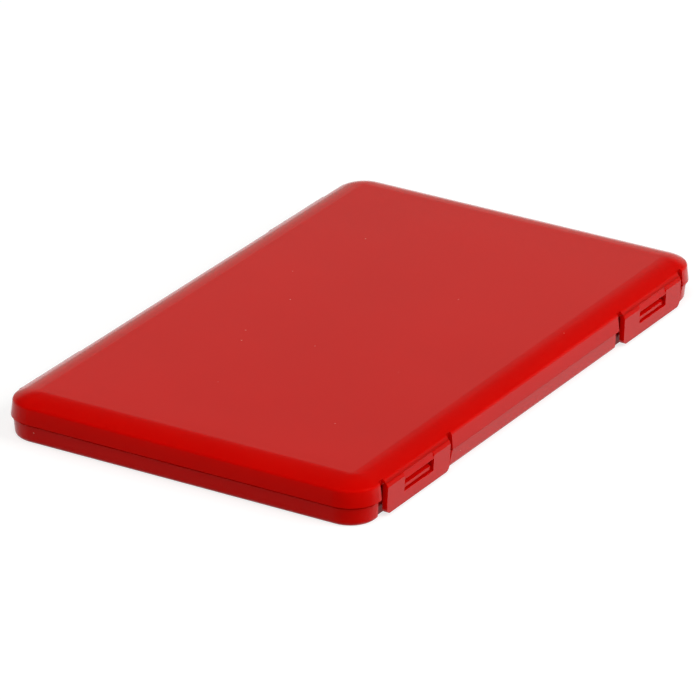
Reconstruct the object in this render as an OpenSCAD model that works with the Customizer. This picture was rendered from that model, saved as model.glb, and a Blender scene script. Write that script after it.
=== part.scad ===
// Flat hinged case for six memory cards, drawn closed.
// X runs along the latch side, Y from the latches to the hinges, Z up from the face it rests on.
// The origin is the middle of that resting face. All sizes are in millimetres.

/* [Cards] */
// Length of one memory card, laid along the case
card_l = 32; // [24:0.1:40]
// Width of one memory card
card_w = 24; // [20:0.1:36]
// Thickness of one memory card
card_t = 2.1; // [1.6:0.1:4]
// Gap on each side of a card in its pocket
card_gap = 0.2; // [0.1:0.05:0.3]
// Pockets along the case
columns = 3; // [2:1:5]
// Pockets across the case
rows = 2; // [1:1:4]

/* [Card tray] */
// Width of the ribs between the columns
column_rib = 0.9; // [0.8:0.1:1.5]
// Width of the rib between the rows
row_rib = 1.2; // [1:0.1:2]
// Width of the tray beyond the pockets at its ends
tray_end = 1.05; // [0.9:0.05:3]
// Width of the tray beyond the pockets at its long sides
tray_side = 4; // [3.8:0.1:8]
// Radius of the pockets' corners
pocket_r = 0.9; // [0.5:0.1:1.2]
// Gap between the tray and the base's walls
tray_gap = 0.3; // [0.2:0.05:0.4]
// Thickness of the tray under the cards
tray_floor = 0.6; // [0.5:0.1:1]
// Height of the tray above the cards
tray_lip = 0.6; // [0.5:0.05:0.8]
// Radius of the tray's corners
tray_corner_r = 3; // [2:0.1:4]
// Radius of the finger notches
finger_r = 7; // [5:0.5:9]
// How far a finger notch reaches past its pocket
finger_out = 2.8; // [2:0.1:3]
// Radius of the nibs that hold the cards down
nib_r = 0.35; // [0.2:0.05:0.4]
// Length of the nibs
nib_l = 5; // [3:0.5:8]
// Height left between the tray and the lid's ceiling
lid_room = 1.6; // [1.4:0.1:3]

/* [Corners] */
// Radius of the four corners seen from above
corner_r = 5.1; // [4.8:0.1:7]

/* [Lid] */
// Thickness of the lid's flat top
lid_top = 1.2; // [1:0.1:1.4]
// Thickness of the lid's skirt at its lower edge
lid_wall = 0.85; // [0.75:0.05:0.95]
// How far the skirt leans inwards between its lower edge and the crown
lid_lean = 0.25; // [0.1:0.05:0.35]
// Width of the rounded crown that joins the skirt to the flat top
crown_w = 4.2; // [3.6:0.1:4.3]
// Height of the rounded crown
crown_h = 1.55; // [1.4:0.05:1.65]
// How far the skirt's lower edge lies below half the case's height
seam_drop = 0.25; // [0.2:0.05:0.4]
// Open line between the skirt's lower edge and the base
seam_gap = 0.3; // [0.2:0.05:0.4]

/* [Base] */
// How far the base's wall stands back from the lid's edge
base_in = 0.35; // [0.2:0.05:0.5]
// Lean of the base's outer wall, narrower at the bottom, in degrees
base_lean = 6; // [3:0.5:8]
// Radius of the base's bottom edge
base_edge_r = 0.8; // [0.5:0.1:1]
// Thickness of the base's floor
base_floor = 1; // [0.8:0.1:1.2]
// Thickness of the base's wall at its top
base_wall = 1.3; // [1.2:0.05:1.5]
// Height of the inner rim above the lid's lower edge
rim_h = 1; // [0.7:0.1:1.3]
// Running gap between the inner rim and the lid's skirt
rim_gap = 0.15; // [0.1:0.05:0.2]

/* [Latches] */
// Distance from the end of the case to the middle of each latch and hinge
latch_end = 16.2; // [16.1:0.1:24]
// Width of a latch tongue
latch_w = 18.4; // [14:0.1:18.5]
// Thickness of a latch tongue
latch_t = 0.95; // [0.85:0.05:1.05]
// How far a tongue stands out from the lid's lower edge
latch_proud = 0.3; // [0.2:0.05:0.4]
// Height of a tongue's lower end above the resting face
latch_low = 0.45; // [0.3:0.05:0.8]
// Radius of a tongue's two lower corners
latch_corner_r = 1; // [0.5:0.1:1.5]
// How far a tongue's outer face leans inwards towards its lower end
latch_lean = 0.15; // [0.05:0.05:0.25]
// Height of the crown above the line where a tongue bends
root_drop = 0.45; // [0.35:0.05:0.6]
// How far the front of a tongue's root stands back from its face
root_back = 0.15; // [0.1:0.05:0.2]
// Slope of the strip that joins a tongue's face to its root, in degrees
strip_slope = 25; // [20:1:30]
// Running gap round a tongue's bending root
root_gap = 0.03; // [0.02:0.01:0.05]
// Width of the slit on either side of a tongue
slit_w = 1.25; // [0.8:0.05:1.3]
// Height that the slits reach above the bending line
slit_up = 1; // [0.6:0.05:1.1]
// Width of the window in a tongue
window_w = 8.6; // [6:0.05:10]
// Height of the window's lower edge above the resting face
window_low = 2.35; // [2.2:0.05:2.5]
// Height of the window
window_h = 2; // [1.8:0.05:2.15]
// Height of the sloped facet above the window
facet_h = 1; // [0.8:0.05:1.2]
// Depth of the sloped facet at its upper end
facet_d = 0.3; // [0.25:0.05:0.4]

/* [Catches] */
// How far the wall behind a tongue stands back from the lid's edge
recess_in = 1.5; // [1.4:0.05:1.6]
// Thickness of the wall behind a tongue
recess_wall = 1.2; // [1:0.1:1.4]
// Radius of the base's upright edges beside a tongue
recess_round = 0.6; // [0.4:0.1:1]
// How far a catch hooks past the inner face of its tongue
catch_hook = 0.5; // [0.4:0.05:0.55]
// Gap between a catch and each side of its window
catch_side = 0.3; // [0.2:0.05:0.5]
// Gap between a catch and the lower edge of its window
catch_drop = 0.2; // [0.15:0.05:0.4]
// Height of a catch's upright front
catch_front = 0.6; // [0.4:0.05:0.8]
// Slope of a catch's lead-in, in degrees
catch_slope = 30; // [20:1:35]

/* [Hinges] */
// How far the hinge line lies outside the lid's edge
hinge_out = 0.3; // [0.25:0.05:0.5]
// Outside radius of the hinge knuckles
knuckle_r = 1.5; // [1.3:0.05:1.6]
// Radius of a hinge pin
pin_r = 0.5; // [0.4:0.05:0.6]
// Running gap between a hinge pin and the lid's knuckle
pin_gap = 0.05; // [0.03:0.01:0.08]
// Width of each of the base's knuckles
base_knuckle_w = 4; // [3:0.1:4.5]
// Width of the lid's knuckle between them
lid_knuckle_w = 7.6; // [6:0.1:8]
// Gap between neighbouring knuckles
knuckle_gap = 0.2; // [0.1:0.05:0.3]
// Gap between a knuckle and the shell that it turns against
notch_gap = 0.3; // [0.25:0.05:0.4]
// How far a pin's ends stand inside the outer knuckles
pin_inset = 0.2; // [0.1:0.1:0.5]
// Chamfer at the ends of a pin
pin_chamfer = 0.1; // [0.05:0.05:0.2]

/* [Hidden] */

case_red = "#C8160F";
tray_grey = "#2E2E31";
pin_steel = "#B9BCC0";

// Extra length of a cutting tool past the face that it opens
past = 1;
// Facets of round outlines where they are previewed
$fn = 96;

pocket_l = card_l + 2 * card_gap;
pocket_w = card_w + 2 * card_gap;
column_step = pocket_l + column_rib;
row_step = pocket_w + row_rib;
tray_l = columns * column_step - column_rib + 2 * tray_end;
tray_w = rows * row_step - row_rib + 2 * tray_side;
pocket_z = base_floor + tray_floor;
tray_z = pocket_z + card_t + tray_lip;

// The case is as large as the tray and the walls round it make it
half_l = tray_l / 2 + tray_gap + base_wall + base_in;
half_w = tray_w / 2 + tray_gap + recess_wall + recess_in;
case_l = 2 * half_l;
case_w = 2 * half_w;
case_h = tray_z + lid_room + lid_top;
latch_x = half_l - latch_end;

lip_z = case_h / 2 - seam_drop;
crown_z = case_h - crown_h;
ceiling_z = case_h - lid_top;
base_top_z = lip_z - seam_gap;
rim_z = lip_z + rim_h;

// The crown is a small arc at the skirt that runs into a wide one up to the flat top.
// Both are tangent where the outline has turned by crown_turn, and their radii follow
// from the crown's width and height, the small one rounded to a thousandth.
crown_turn = 60;
crown_share = sin(crown_turn) + cos(crown_turn) - 1;
edge_r_exact = (crown_h * cos(crown_turn) - crown_w * (1 - sin(crown_turn))) / crown_share;
crown_edge_r = round(1000 * edge_r_exact) / 1000;
crown_arc_r = (crown_h - crown_edge_r * sin(crown_turn)) / (1 - sin(crown_turn));
crown_edge_x = corner_r - lid_lean - crown_edge_r;
crown_meet_x = crown_edge_x + crown_edge_r * cos(crown_turn);
crown_arc_x = crown_meet_x - crown_arc_r * cos(crown_turn);
crown_arc_z = case_h - crown_arc_r;

lid_inside = corner_r - lid_wall;
base_outside = corner_r - base_in;
rim_outside = corner_r - lid_wall - rim_gap;
base_inside = base_outside - base_wall;
recess_y = half_w - recess_in;
recess_inner_y = recess_y - recess_wall;

latch_face_y = half_w + latch_proud;
latch_back_y = latch_face_y - latch_t;
root_r = (latch_t - root_back) / 2;
root_y = latch_back_y + root_r;
root_z = crown_z - root_drop;
// Upper edge of a tongue's face, where the strip that is tangent to the root meets it
face_z = root_z + (root_r - (root_r + root_back) * cos(strip_slope)) / sin(strip_slope);
opening_w = latch_w + 2 * slit_w;
window_high = window_low + window_h;

hinge_y = half_w + hinge_out;
hinge_z = case_h / 2;
notch_r = knuckle_r + notch_gap;
hinge_w = lid_knuckle_w + 2 * (base_knuckle_w + knuckle_gap);
pin_l = hinge_w - 2 * pin_inset;
lid_notch_w = lid_knuckle_w + 2 * knuckle_gap;
base_knuckle_x = (lid_knuckle_w + base_knuckle_w) / 2 + knuckle_gap;

// A plate with rounded corners whose edge has the outline given as its child.
// The outline is drawn from the corner's centre outwards, between the heights low and high.
module swept_plate(length, width, radius, low, high) {
    straight_l = length - 2 * radius;
    straight_w = width - 2 * radius;
    rotate([90, 0, 0])
        linear_extrude(straight_w, center = true)
            across(straight_l, low, high) children();
    rotate([90, 0, 90])
        linear_extrude(straight_l, center = true)
            across(straight_w, low, high) children();
    for (turn = [0 : 3]) {
        side_x = turn == 0 || turn == 3 ? 1 : -1;
        side_y = turn < 2 ? 1 : -1;
        translate([side_x * straight_l / 2, side_y * straight_w / 2, 0])
            rotate([0, 0, 90 * turn])
                rotate_extrude(angle = 90) children();
    }
}

// The cross section of a plate: the outline at both ends with a plain middle
module across(straight, low, high) {
    for (side = [0, 1])
        mirror([side, 0])
            translate([straight / 2, 0]) children();
    translate([-straight / 2, low]) square([straight, high - low]);
}

// Repeats its child at the left and the right latch or hinge
module at_both_ends() {
    for (side = [-1, 1])
        translate([side * latch_x, 0, 0]) children();
}

// Extrudes an outline of Y and Z along X, centred on X = 0
module along_x(length) {
    rotate([90, 0, 90])
        linear_extrude(length, center = true) children();
}

// A round rod along X at the height and depth given
module rod(radius, length, y, z) {
    translate([0, y, z])
        rotate([0, 90, 0])
            cylinder(r = radius, h = length, center = true);
}

// Outside of the lid's edge: leaning skirt, small arc and wide crown arc
module lid_outline() {
    polygon([[0, lip_z], [corner_r, lip_z], [corner_r - lid_lean, crown_z], [0, crown_z]]);
    translate([0, crown_z]) square([crown_arc_x, crown_h]);
    intersection() {
        translate([crown_arc_x, crown_arc_z]) circle(r = crown_arc_r, $fn = 360);
        translate([crown_arc_x, crown_z]) square([crown_meet_x - crown_arc_x, crown_h]);
    }
    intersection() {
        translate([crown_edge_x, crown_z]) circle(r = crown_edge_r);
        translate([crown_meet_x, crown_z]) square([crown_edge_r, crown_h]);
    }
}

// Inside of the lid's edge, under a ceiling that follows the crown
module lid_hollow_outline() {
    translate([0, lip_z - past]) square([crown_arc_x, ceiling_z - lip_z + past]);
    intersection() {
        translate([crown_arc_x, crown_arc_z]) circle(r = crown_arc_r - lid_top, $fn = 360);
        translate([crown_arc_x, lip_z - past])
            square([lid_inside - crown_arc_x, ceiling_z - lip_z + past]);
    }
}

// The shoulder above a tongue, as an outline of Y and Z on the latch side.
// It runs from where the crown's two arcs meet and is tangent to the tongue's root.
module shoulder_outline() {
    crown_y = -half_w + corner_r - crown_meet_x;
    crown_meet_z = crown_z + crown_edge_r * sin(crown_turn);
    away = [crown_y + root_y, crown_meet_z - root_z];
    foot_turn = atan2(away[1], away[0]) + acos(root_r / norm(away));
    foot = [-root_y + root_r * cos(foot_turn), root_z + root_r * sin(foot_turn)];
    polygon([foot, [crown_y, crown_meet_z], [crown_y, root_z], [foot[0], root_z]]);
}

// The wedge that cuts the sloped facet over a window
module window_facet() {
    slope = facet_d / facet_h;
    along_x(window_w)
        polygon([
            [-latch_face_y, window_high],
            [-latch_face_y + 2 * facet_d, window_high + 2 * facet_d / slope],
            [-latch_face_y - past, window_high + 2 * facet_d / slope],
            [-latch_face_y - past, window_high]]);
}

module lid_shell() {
    color(case_red)
        difference() {
            union() {
                difference() {
                    swept_plate(case_l, case_w, corner_r, lip_z, case_h) lid_outline();
                    swept_plate(case_l, case_w, corner_r, lip_z - past, ceiling_z)
                        lid_hollow_outline();
                    at_both_ends() latch_opening();
                    at_both_ends() lid_hinge_notches();
                }
                at_both_ends() along_x(latch_w) shoulder_outline();
                at_both_ends() lid_knuckle();
            }
            at_both_ends() {
                rod(root_r + root_gap, latch_w, -root_y, root_z);
                rod(pin_r + pin_gap, lid_notch_w, hinge_y, hinge_z);
            }
        }
}

// The opening in the skirt for a tongue, with its two slits
module latch_opening() {
    depth = lid_wall + latch_proud + past;
    translate([-opening_w / 2, -half_w + lid_wall - depth, lip_z - past])
        cube([opening_w, depth + lid_wall, root_z - lip_z + past]);
    for (side = [-1, 1])
        translate([side * (latch_w + slit_w) / 2, -half_w + lid_wall - depth / 2, root_z])
            cube([slit_w, depth, 2 * slit_up], center = true);
}

// Room in the skirt for the base's knuckles
module lid_hinge_notches() {
    for (side = [-1, 1])
        translate([side * base_knuckle_x, 0, 0])
            rod(notch_r, base_knuckle_w + 2 * knuckle_gap, hinge_y, hinge_z);
}

// The lid's knuckle, with the web that carries it
module lid_knuckle() {
    web_turn = 65;
    web_y = half_w - lid_lean;
    foot = [hinge_y + knuckle_r * cos(web_turn), hinge_z + knuckle_r * sin(web_turn)];
    rod(knuckle_r, lid_knuckle_w, hinge_y, hinge_z);
    along_x(lid_knuckle_w)
        polygon([
            [half_w - lid_wall, hinge_z],
            [hinge_y, hinge_z],
            foot,
            [web_y, foot[1] + (foot[0] - web_y) / tan(web_turn)],
            [half_w - lid_wall, foot[1] + (foot[0] - web_y) / tan(web_turn)]]);
}

// A latch tongue with its window, hanging from its bending root
module latch(side) {
    color(case_red)
        translate([side * latch_x, 0, 0])
            difference() {
                union() {
                    intersection() {
                        along_x(latch_w) tongue_outline();
                        rotate([90, 0, 0])
                            linear_extrude(latch_face_y + past) tongue_front();
                    }
                    rod(root_r, latch_w, -root_y, root_z);
                }
                translate([0, -latch_face_y, window_low + window_h / 2])
                    cube([window_w, 4 * latch_t, window_h], center = true);
                window_facet();
            }
}

// Side outline of a tongue, up to its root
module tongue_outline() {
    polygon([
        [-latch_back_y, root_z],
        [-latch_back_y, latch_low],
        [-latch_face_y + latch_lean, latch_low],
        [-latch_face_y, face_z],
        [-root_y - root_r * cos(strip_slope), root_z + root_r * sin(strip_slope)],
        [-root_y, root_z]]);
}

// Front outline of a tongue, with rounded lower corners
module tongue_front() {
    translate([-latch_w / 2, latch_low + latch_corner_r])
        square([latch_w, root_z + root_r - latch_low - latch_corner_r]);
    translate([-latch_w / 2 + latch_corner_r, latch_low])
        square([latch_w - 2 * latch_corner_r, latch_corner_r]);
    for (side = [-1, 1])
        translate([side * (latch_w / 2 - latch_corner_r), latch_low + latch_corner_r])
            circle(r = latch_corner_r);
}

module left_latch() {
    latch(-1);
}

module right_latch() {
    latch(1);
}

// Outside of the base's edge: rounded bottom edge and leaning wall
module base_outline() {
    lean = tan(base_lean);
    foot_z = base_edge_r * (1 - sin(base_lean));
    edge_x = base_outside - (base_top_z - foot_z) * lean - base_edge_r * cos(base_lean);
    polygon([
        [0, 0],
        [edge_x, 0],
        [edge_x + base_edge_r * cos(base_lean), foot_z],
        [base_outside, base_top_z],
        [0, base_top_z]]);
    translate([edge_x, base_edge_r]) circle(r = base_edge_r);
    translate([0, base_top_z]) square([rim_outside, rim_z - base_top_z]);
}

// Inside of the base's edge
module base_hollow_outline() {
    translate([0, base_floor]) square([base_inside, rim_z - base_floor + past]);
}

// Plan of the recess for a tongue, with rounded edges where it meets the wall
module recess_plan() {
    front_y = -half_w + base_in;
    translate([-opening_w / 2, -half_w - past]) square([opening_w, recess_in + past]);
    for (side = [-1, 1])
        difference() {
            translate([side * (opening_w + recess_round) / 2, front_y + (recess_round - past) / 2])
                square([recess_round, recess_round + past], center = true);
            translate([side * (opening_w / 2 + recess_round), front_y + recess_round])
                circle(r = recess_round);
        }
}

// The wall behind a tongue
module recess_back() {
    length = opening_w + 2 * recess_wall;
    translate([-length / 2, -recess_y, 0])
        cube([length, recess_wall, rim_z]);
}

// The hook that the tongue's window drops over
module catch() {
    low = window_low + catch_drop;
    tip_y = latch_back_y + catch_hook;
    rise = (tip_y - recess_y) * tan(catch_slope);
    along_x(window_w - 2 * catch_side)
        polygon([
            [-recess_inner_y, low],
            [-tip_y, low],
            [-tip_y, low + catch_front],
            [-recess_y, low + catch_front + rise],
            [-recess_inner_y, low + catch_front + rise]]);
}

// The wall inside the hinges
module hinge_back() {
    length = hinge_w + 2 * recess_wall;
    translate([-length / 2, recess_inner_y, 0])
        cube([length, recess_wall, rim_z]);
}

// The base's two knuckles of one hinge, with the webs that carry them
module base_knuckles() {
    tangent = knuckle_r * sin(45);
    foot = [hinge_y + tangent, hinge_z - tangent];
    inwards = foot[0] - half_w + base_in + base_wall / 2;
    for (side = [-1, 1])
        translate([side * base_knuckle_x, 0, 0]) {
            rod(knuckle_r, base_knuckle_w, hinge_y, hinge_z);
            along_x(base_knuckle_w)
                polygon([
                    [hinge_y, hinge_z],
                    foot,
                    foot - [inwards, inwards],
                    [half_w - base_in - base_wall, foot[1] - inwards],
                    [half_w - base_in - base_wall, hinge_z]]);
        }
}

module base_shell() {
    color(case_red)
        difference() {
            union() {
                difference() {
                    swept_plate(case_l, case_w, corner_r, 0, rim_z) base_outline();
                    swept_plate(case_l, case_w, corner_r, base_floor, rim_z + past)
                        base_hollow_outline();
                    at_both_ends()
                        translate([0, 0, -past])
                            linear_extrude(rim_z + 2 * past) recess_plan();
                }
                at_both_ends() {
                    recess_back();
                    catch();
                    hinge_back();
                    base_knuckles();
                }
            }
            at_both_ends() {
                rod(notch_r, lid_notch_w, hinge_y, hinge_z);
                rod(pin_r, hinge_w + past, hinge_y, hinge_z);
            }
        }
}

// Middles of the pockets, as [x, y]
pocket_places = [
    for (column = [0 : columns - 1], row = [0 : rows - 1])
        [(column - (columns - 1) / 2) * column_step, (row - (rows - 1) / 2) * row_step]];

// A flat plate with rounded corners
module round_plate(length, width, radius, height) {
    linear_extrude(height) {
        square([length - 2 * radius, width], center = true);
        square([length, width - 2 * radius], center = true);
        for (x = [-1, 1], y = [-1, 1])
            translate([x * (length / 2 - radius), y * (width / 2 - radius)])
                circle(r = radius);
    }
}

// The tray that holds the cards, with finger notches and nibs
module card_tray() {
    notch_from = pocket_w / 2 + finger_out - finger_r;
    color(tray_grey) {
        difference() {
            translate([0, 0, base_floor])
                round_plate(tray_l, tray_w, tray_corner_r, tray_z - base_floor);
            for (place = pocket_places)
                translate([place[0], place[1], pocket_z]) {
                    round_plate(pocket_l, pocket_w, pocket_r, tray_z);
                    translate([0, sign(place[1]) * notch_from, 0])
                        cylinder(r = finger_r, h = tray_z);
                }
        }
        for (place = pocket_places, side = [-1, 1])
            translate([place[0] + side * pocket_l / 2, place[1], tray_z - nib_r])
                rotate([90, 0, 0])
                    cylinder(r = nib_r, h = nib_l, center = true);
    }
}

// A steel hinge pin with chamfered ends
module hinge_pin(side) {
    shank = pin_l - 2 * pin_chamfer;
    color(pin_steel)
        translate([side * latch_x, hinge_y, hinge_z])
            rotate([0, 90, 0]) {
                cylinder(r = pin_r, h = shank, center = true);
                for (end = [0, 1])
                    mirror([0, 0, end])
                        translate([0, 0, shank / 2])
                            cylinder(r1 = pin_r, r2 = pin_r - pin_chamfer, h = pin_chamfer);
            }
}

module left_hinge_pin() {
    hinge_pin(-1);
}

module right_hinge_pin() {
    hinge_pin(1);
}

base_shell();
lid_shell();
left_latch();
right_latch();
card_tray();
left_hinge_pin();
right_hinge_pin();
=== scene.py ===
"""Looks of a flat red memory card case, drawn closed on a pale studio floor.

The case is 105 mm long, 64 mm wide and 7.1 mm high. X runs along the side with the two
latches, Y from the latches to the hinges, Z up from the face that it rests on. Lengths in
this script are millimetres unless a name says otherwise, and angles are degrees.
"""

import logging
import math
from dataclasses import dataclass
from typing import Optional

import bpy
from mathutils import Matrix, Vector

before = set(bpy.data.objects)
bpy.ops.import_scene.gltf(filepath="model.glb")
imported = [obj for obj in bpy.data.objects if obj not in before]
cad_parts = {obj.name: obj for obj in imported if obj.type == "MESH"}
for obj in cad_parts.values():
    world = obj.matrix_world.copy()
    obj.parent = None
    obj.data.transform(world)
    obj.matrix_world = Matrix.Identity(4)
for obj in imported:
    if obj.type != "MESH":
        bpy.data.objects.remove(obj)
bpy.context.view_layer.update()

MM = 0.001

LOG = logging.getLogger("card_case")


def linear_colour(code: str) -> tuple[float, float, float, float]:
    """Turns an sRGB hex value into a linear colour.

    Args:
        code: The colour as six hex digits after a hash sign.

    Returns:
        Red, green, blue and alpha as a shader socket takes them.
    """
    shares = [int(code[place:place + 2], 16) / 255 for place in (1, 3, 5)]
    linear = [
        share / 12.92 if share <= 0.04045 else ((share + 0.055) / 1.055) ** 2.4
        for share in shares
    ]
    return (*linear, 1.0)


def add_node(
    owner: bpy.types.Material | bpy.types.World,
    kind: str,
    settings: Optional[dict] = None,
    sockets: Optional[dict] = None,
    links: Optional[dict] = None,
) -> bpy.types.ShaderNode:
    """Adds one node to a material or world with its settings and links.

    Args:
        owner: The material or world whose tree takes the node.
        kind: The node's Blender type name.
        settings: Attributes to set on the node.
        sockets: Values of its inputs by name or index.
        links: Output sockets to join to its inputs, by input name or index.

    Returns:
        The new node.
    """
    tree = owner.node_tree
    node = tree.nodes.new(kind)
    for name, value in (settings or {}).items():
        setattr(node, name, value)
    for name, value in (sockets or {}).items():
        node.inputs[name].default_value = value
    for name, source in (links or {}).items():
        tree.links.new(source, node.inputs[name])
    return node


def blank_material(name: str) -> bpy.types.Material:
    """Makes a node material that holds nothing yet.

    Args:
        name: The material's name.

    Returns:
        The material with an empty tree.
    """
    material = bpy.data.materials.new(name)
    material.use_nodes = True
    material.node_tree.nodes.clear()
    return material


def spread_roughness(
    material: bpy.types.Material, pattern: bpy.types.NodeSocket, middle: float, change: float,
) -> bpy.types.NodeSocket:
    """Lets a pattern vary a roughness about its middle.

    Args:
        material: The material that takes the nodes.
        pattern: The output that drives the change.
        middle: The roughness in the middle.
        change: How far it goes to either side.

    Returns:
        The roughness as an output socket.
    """
    spread = add_node(
        material, "ShaderNodeMapRange",
        sockets={"To Min": middle - change, "To Max": middle + change},
        links={"Value": pattern},
    )
    return spread.outputs["Result"]


def raise_bumps(
    material: bpy.types.Material, pattern: bpy.types.NodeSocket, height_mm: float,
    normal: Optional[bpy.types.NodeSocket] = None,
) -> bpy.types.NodeSocket:
    """Raises a pattern from the surface as bumps.

    Args:
        material: The material that takes the nodes.
        pattern: The output that gives the height.
        height_mm: The height of the bumps.
        normal: The normal of coarser bumps that these lie on.

    Returns:
        The bumpy normal as an output socket.
    """
    links = {"Height": pattern}
    if normal is not None:
        links["Normal"] = normal
    bumps = add_node(
        material, "ShaderNodeBump",
        sockets={"Strength": 1.0, "Distance": height_mm * MM}, links=links,
    )
    return bumps.outputs["Normal"]


def close_material(material: bpy.types.Material, shader: bpy.types.ShaderNode) -> None:
    """Joins a shader to the material's output.

    Args:
        material: The material to complete.
        shader: Its surface shader.
    """
    add_node(material, "ShaderNodeOutputMaterial", links={"Surface": shader.outputs["BSDF"]})


def direction(azimuth: float, elevation: float) -> Vector:
    """Points from the case to a place round it.

    Args:
        azimuth: The angle round the case in degrees, 0 at the latch side.
        elevation: The angle over the floor in degrees.

    Returns:
        The direction, one metre long.
    """
    turn, rise = math.radians(azimuth), math.radians(elevation)
    return Vector((
        math.sin(turn) * math.cos(rise), -math.cos(turn) * math.cos(rise), math.sin(rise)
    ))


@dataclass(frozen=True)
class GlossMouldedPolypropylene:
    """Red polypropylene from a polished mould: deep colour under a clear even gloss.

    Light goes a little way into the plastic, most of it red, and the reflections are
    tinted. The mould's polish leaves a faint swell in them, and a few specks of dust lie
    on the surface.
    """

    colour: str = "#D80803"
    shade: str = "#CC0602"
    gloss_tint: str = "#FF2A16"
    roughness: float = 0.12
    roughness_change: float = 0.03
    specular: float = 0.2
    ior: float = 1.5
    depth: float = 0.5
    depth_mm: tuple[float, float, float] = (2.5, 0.1, 0.06)
    dust: str = "#DC7A6E"
    dust_apart_mm: float = 5.0
    dust_size_mm: float = 0.12
    swell_mm: float = 24.0
    swell_height_mm: float = 0.05
    swell_detail: float = 2.0
    swell_sharpness: float = 0.45
    grain_mm: float = 0.35
    grain_height_mm: float = 0.0006
    grain_detail: float = 3.0

    def make(self, name: str) -> bpy.types.Material:
        """Builds the finish.

        Args:
            name: The material's name.

        Returns:
            The finished material.
        """
        material = blank_material(name)
        place = add_node(material, "ShaderNodeTexCoord").outputs["Object"]
        swell = add_node(
            material, "ShaderNodeTexNoise",
            sockets={
                "Scale": 1 / (self.swell_mm * MM),
                "Detail": self.swell_detail,
                "Roughness": self.swell_sharpness,
            },
            links={"Vector": place},
        )
        grain = add_node(
            material, "ShaderNodeTexNoise",
            sockets={"Scale": 1 / (self.grain_mm * MM), "Detail": self.grain_detail},
            links={"Vector": place},
        )
        tint = add_node(
            material, "ShaderNodeMix", {"data_type": "RGBA"},
            sockets={6: linear_colour(self.shade), 7: linear_colour(self.colour)},
            links={0: swell.outputs["Fac"]},
        )
        specks = add_node(
            material, "ShaderNodeTexVoronoi",
            sockets={"Scale": 1 / (self.dust_apart_mm * MM)}, links={"Vector": place},
        )
        dusty = add_node(
            material, "ShaderNodeMath", {"operation": "LESS_THAN"},
            sockets={1: self.dust_size_mm / self.dust_apart_mm},
            links={0: specks.outputs["Distance"]},
        )
        skin = add_node(
            material, "ShaderNodeMix", {"data_type": "RGBA"},
            sockets={7: linear_colour(self.dust)},
            links={0: dusty.outputs["Value"], 6: tint.outputs[2]},
        )
        broad = raise_bumps(material, swell.outputs["Fac"], self.swell_height_mm)
        fine = raise_bumps(material, grain.outputs["Fac"], self.grain_height_mm, broad)
        shader = add_node(
            material, "ShaderNodeBsdfPrincipled",
            sockets={
                "IOR": self.ior,
                "Specular IOR Level": self.specular,
                "Specular Tint": linear_colour(self.gloss_tint),
                "Subsurface Weight": self.depth,
                "Subsurface Radius": self.depth_mm,
                "Subsurface Scale": MM,
            },
            links={
                "Base Color": skin.outputs[2],
                "Roughness": spread_roughness(
                    material, grain.outputs["Fac"], self.roughness, self.roughness_change
                ),
                "Normal": fine,
            },
        )
        close_material(material, shader)
        return material


@dataclass(frozen=True)
class SparkTexturedPlastic:
    """Dark polypropylene from a spark-eroded mould: an even matt grain."""

    colour: str = "#2E2E31"
    worn: str = "#3A3A3E"
    roughness: float = 0.55
    roughness_change: float = 0.08
    specular: float = 0.4
    ior: float = 1.49
    grain_mm: float = 0.25
    grain_height_mm: float = 0.02
    grain_detail: float = 4.0
    grain_sharpness: float = 0.6

    def make(self, name: str) -> bpy.types.Material:
        """Builds the finish.

        Args:
            name: The material's name.

        Returns:
            The finished material.
        """
        material = blank_material(name)
        place = add_node(material, "ShaderNodeTexCoord").outputs["Object"]
        grain = add_node(
            material, "ShaderNodeTexNoise",
            sockets={
                "Scale": 1 / (self.grain_mm * MM),
                "Detail": self.grain_detail,
                "Roughness": self.grain_sharpness,
            },
            links={"Vector": place},
        )
        tint = add_node(
            material, "ShaderNodeMix", {"data_type": "RGBA"},
            sockets={6: linear_colour(self.colour), 7: linear_colour(self.worn)},
            links={0: grain.outputs["Fac"]},
        )
        shader = add_node(
            material, "ShaderNodeBsdfPrincipled",
            sockets={"IOR": self.ior, "Specular IOR Level": self.specular},
            links={
                "Base Color": tint.outputs[2],
                "Roughness": spread_roughness(
                    material, grain.outputs["Fac"], self.roughness, self.roughness_change
                ),
                "Normal": raise_bumps(material, grain.outputs["Fac"], self.grain_height_mm),
            },
        )
        close_material(material, shader)
        return material


@dataclass(frozen=True)
class DrawnSteelWire:
    """Bright steel wire cut to length: fine lines along the wire from the drawing die."""

    colour: str = "#B9BCC0"
    roughness: float = 0.28
    roughness_change: float = 0.08
    line_mm: float = 0.06
    line_stretch: float = 40.0
    line_height_mm: float = 0.003
    line_detail: float = 2.0

    def make(self, name: str) -> bpy.types.Material:
        """Builds the finish.

        Args:
            name: The material's name.

        Returns:
            The finished material.
        """
        material = blank_material(name)
        place = add_node(material, "ShaderNodeTexCoord").outputs["Object"]
        along = add_node(
            material, "ShaderNodeMapping",
            sockets={"Scale": (1 / self.line_stretch, 1.0, 1.0)},
            links={"Vector": place},
        )
        lines = add_node(
            material, "ShaderNodeTexNoise",
            sockets={"Scale": 1 / (self.line_mm * MM), "Detail": self.line_detail},
            links={"Vector": along.outputs["Vector"]},
        )
        shader = add_node(
            material, "ShaderNodeBsdfPrincipled",
            sockets={"Base Color": linear_colour(self.colour), "Metallic": 1.0},
            links={
                "Roughness": spread_roughness(
                    material, lines.outputs["Fac"], self.roughness, self.roughness_change
                ),
                "Normal": raise_bumps(material, lines.outputs["Fac"], self.line_height_mm),
            },
        )
        close_material(material, shader)
        return material


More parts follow.
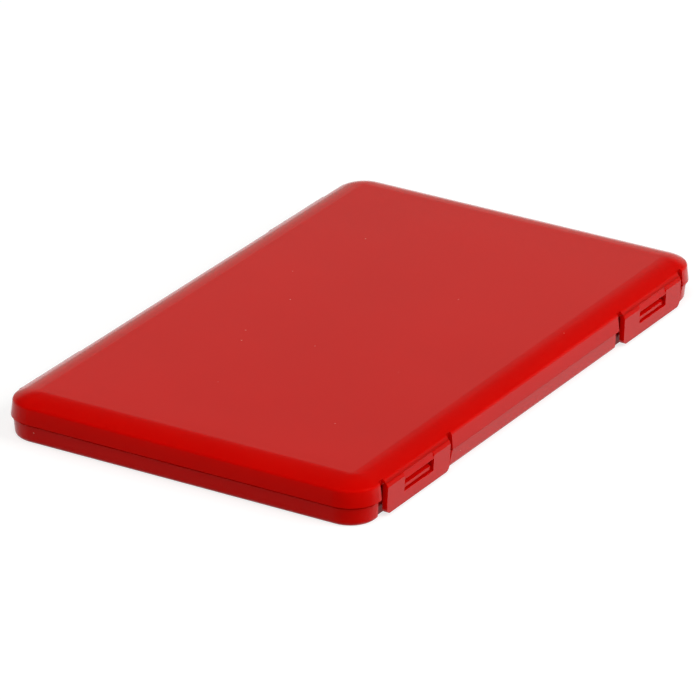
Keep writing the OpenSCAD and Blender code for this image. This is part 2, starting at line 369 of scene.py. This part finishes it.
@dataclass(frozen=True)
class PaleFloor:
    """Matt grey board that looks white to the eye and in reflections, with its shadows."""

    colour: str = "#A4A4A4"
    lift: float = 0.74
    roughness: float = 0.9
    specular: float = 0.1

    def make(self, name: str) -> bpy.types.Material:
        """Builds the finish, which glows a little where it is seen or mirrored.

        Args:
            name: The material's name.

        Returns:
            The finished material.
        """
        material = blank_material(name)
        rays = add_node(material, "ShaderNodeLightPath").outputs
        seen = rays["Is Camera Ray"]
        for kind in ("Is Glossy Ray", "Is Transmission Ray"):
            seen = add_node(
                material, "ShaderNodeMath", {"operation": "MAXIMUM"},
                links={0: seen, 1: rays[kind]},
            ).outputs["Value"]
        lift = add_node(
            material, "ShaderNodeMath", {"operation": "MULTIPLY"},
            sockets={1: self.lift}, links={0: seen},
        )
        shader = add_node(
            material, "ShaderNodeBsdfPrincipled",
            sockets={
                "Base Color": linear_colour(self.colour),
                "Roughness": self.roughness,
                "Specular IOR Level": self.specular,
                "Emission Color": (1.0, 1.0, 1.0, 1.0),
            },
            links={"Emission Strength": lift.outputs["Value"]},
        )
        close_material(material, shader)
        return material


@dataclass
class Assembly:
    """Pieces of the case that belong together and share a finish."""

    name: str
    nodes: tuple[str, ...]
    finish: GlossMouldedPolypropylene | SparkTexturedPlastic | DrawnSteelWire

    def build(self) -> list[bpy.types.Object]:
        """Gives each piece the finish in place of its plain one.

        Returns:
            The dressed pieces.
        """
        material = self.finish.make(self.name)
        pieces = [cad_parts[node] for node in self.nodes]
        for piece in pieces:
            piece.data.materials.clear()
            piece.data.materials.append(material)
        return pieces


ASSEMBLIES = (
    Assembly(
        "gloss_moulded_polypropylene", ("base_shell", "lid_shell", "left_latch", "right_latch"),
        GlossMouldedPolypropylene(),
    ),
    Assembly("spark_textured_polypropylene", ("card_tray",), SparkTexturedPlastic()),
    Assembly("drawn_steel_wire", ("left_hinge_pin", "right_hinge_pin"), DrawnSteelWire()),
)


@dataclass(frozen=True)
class Softbox:
    """A square lamp that faces the case."""

    name: str
    azimuth: float
    elevation: float
    size_m: float
    watts: float
    distance_m: float = 1.6

    def build(self) -> bpy.types.Object:
        """Stands the lamp in its place and turns it to the case.

        Returns:
            The lamp.
        """
        away = direction(self.azimuth, self.elevation)
        bpy.ops.object.light_add(type="AREA", location=away * self.distance_m)
        lamp = bpy.context.view_layer.objects.active
        lamp.name = self.name
        lamp.data.shape = "RECTANGLE"
        lamp.data.size = lamp.data.size_y = self.size_m
        lamp.data.energy = self.watts
        lamp.rotation_euler = away.to_track_quat("Z", "Y").to_euler()
        return lamp


@dataclass
class Studio:
    """Pale floor, soft lamps, plain surroundings and the camera."""

    floor_radius_m: float = 3.5
    floor_sides: int = 96
    floor_drop: float = 0.02
    world_colour: str = "#FFFFF4"
    horizon_strength: float = 0.62
    zenith_strength: float = 0.1
    pale_up_to: float = 0.33
    dim_from: float = 0.6
    softboxes: tuple[Softbox, ...] = (
        Softbox("key_softbox", 8, 39, 0.9, 15.0),
        Softbox("left_softbox", -75, 62, 0.7, 8.6),
    )
    azimuth: float = -59.446
    elevation: float = 24.051
    roll: float = 0.714
    distance_m: float = 1.0395
    lens: float = 345.24
    sensor: float = 36.0
    clip_m: tuple[float, float] = (0.05, 20.0)
    aim_right: float = -1.186
    aim_up: float = -1.205
    centre: tuple[float, float, float] = (0.0, 0.0, 3.55)

    def build_floor(self) -> bpy.types.Object:
        """Makes the round pale floor that the case rests on.

        Returns:
            The floor.
        """
        bpy.ops.object.select_all(action="DESELECT")
        bpy.ops.mesh.primitive_circle_add(
            vertices=self.floor_sides, radius=self.floor_radius_m, fill_type="NGON",
            location=(0, 0, -self.floor_drop * MM),
        )
        floor = bpy.context.view_layer.objects.active
        floor.name = "studio_floor"
        floor.data.materials.append(PaleFloor().make("pale_floor"))
        return floor

    def build_world(self) -> None:
        """Makes the surroundings pale near the horizon and dim overhead."""
        world = bpy.data.worlds.new("studio_surroundings")
        world.use_nodes = True
        world.node_tree.nodes.clear()
        place = add_node(world, "ShaderNodeTexCoord").outputs["Generated"]
        height = add_node(world, "ShaderNodeSeparateXYZ", links={"Vector": place})
        strength = add_node(
            world, "ShaderNodeMapRange", {"interpolation_type": "SMOOTHSTEP"},
            sockets={
                "From Min": self.pale_up_to,
                "From Max": self.dim_from,
                "To Min": self.horizon_strength,
                "To Max": self.zenith_strength,
            },
            links={"Value": height.outputs["Z"]},
        )
        background = add_node(
            world, "ShaderNodeBackground", sockets={"Color": linear_colour(self.world_colour)},
            links={"Strength": strength.outputs["Result"]},
        )
        add_node(
            world, "ShaderNodeOutputWorld", links={"Surface": background.outputs["Background"]}
        )
        bpy.context.scene.world = world

    def build_camera(self) -> bpy.types.Object:
        """Stands the camera where the photograph was taken from.

        It looks past the centre by aim_right and aim_up, which puts the case where the
        photograph has it.

        Returns:
            The camera.
        """
        away = direction(self.azimuth, self.elevation)
        right = direction(self.azimuth + 90.0, 0.0)
        up = direction(self.azimuth + 180.0, 90.0 - self.elevation)
        aim = (Vector(self.centre) + right * self.aim_right + up * self.aim_up) * MM
        bpy.ops.object.camera_add(location=aim + away * self.distance_m)
        camera = bpy.context.view_layer.objects.active
        camera.name = "photo_camera"
        level = Matrix((right, up, away)).transposed()
        rolled = level @ Matrix.Rotation(math.radians(self.roll), 3, "Z")
        camera.rotation_euler = rolled.to_euler()
        camera.data.lens = self.lens
        camera.data.sensor_width = self.sensor
        camera.data.clip_start, camera.data.clip_end = self.clip_m
        bpy.context.scene.camera = camera
        return camera

    def build(self) -> None:
        """Sets up the floor, the surroundings, the lamps and the camera."""
        self.build_floor()
        self.build_world()
        for softbox in self.softboxes:
            softbox.build()
        self.build_camera()
        bpy.context.scene.view_settings.view_transform = "Standard"


def main() -> None:
    """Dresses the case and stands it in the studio."""
    logging.basicConfig(level=logging.INFO, format="%(message)s")
    for assembly in ASSEMBLIES:
        for piece in assembly.build():
            LOG.info("%s dressed in %s", piece.name, assembly.name)
    Studio().build()
    bpy.context.view_layer.update()


if __name__ == "__main__":
    main()
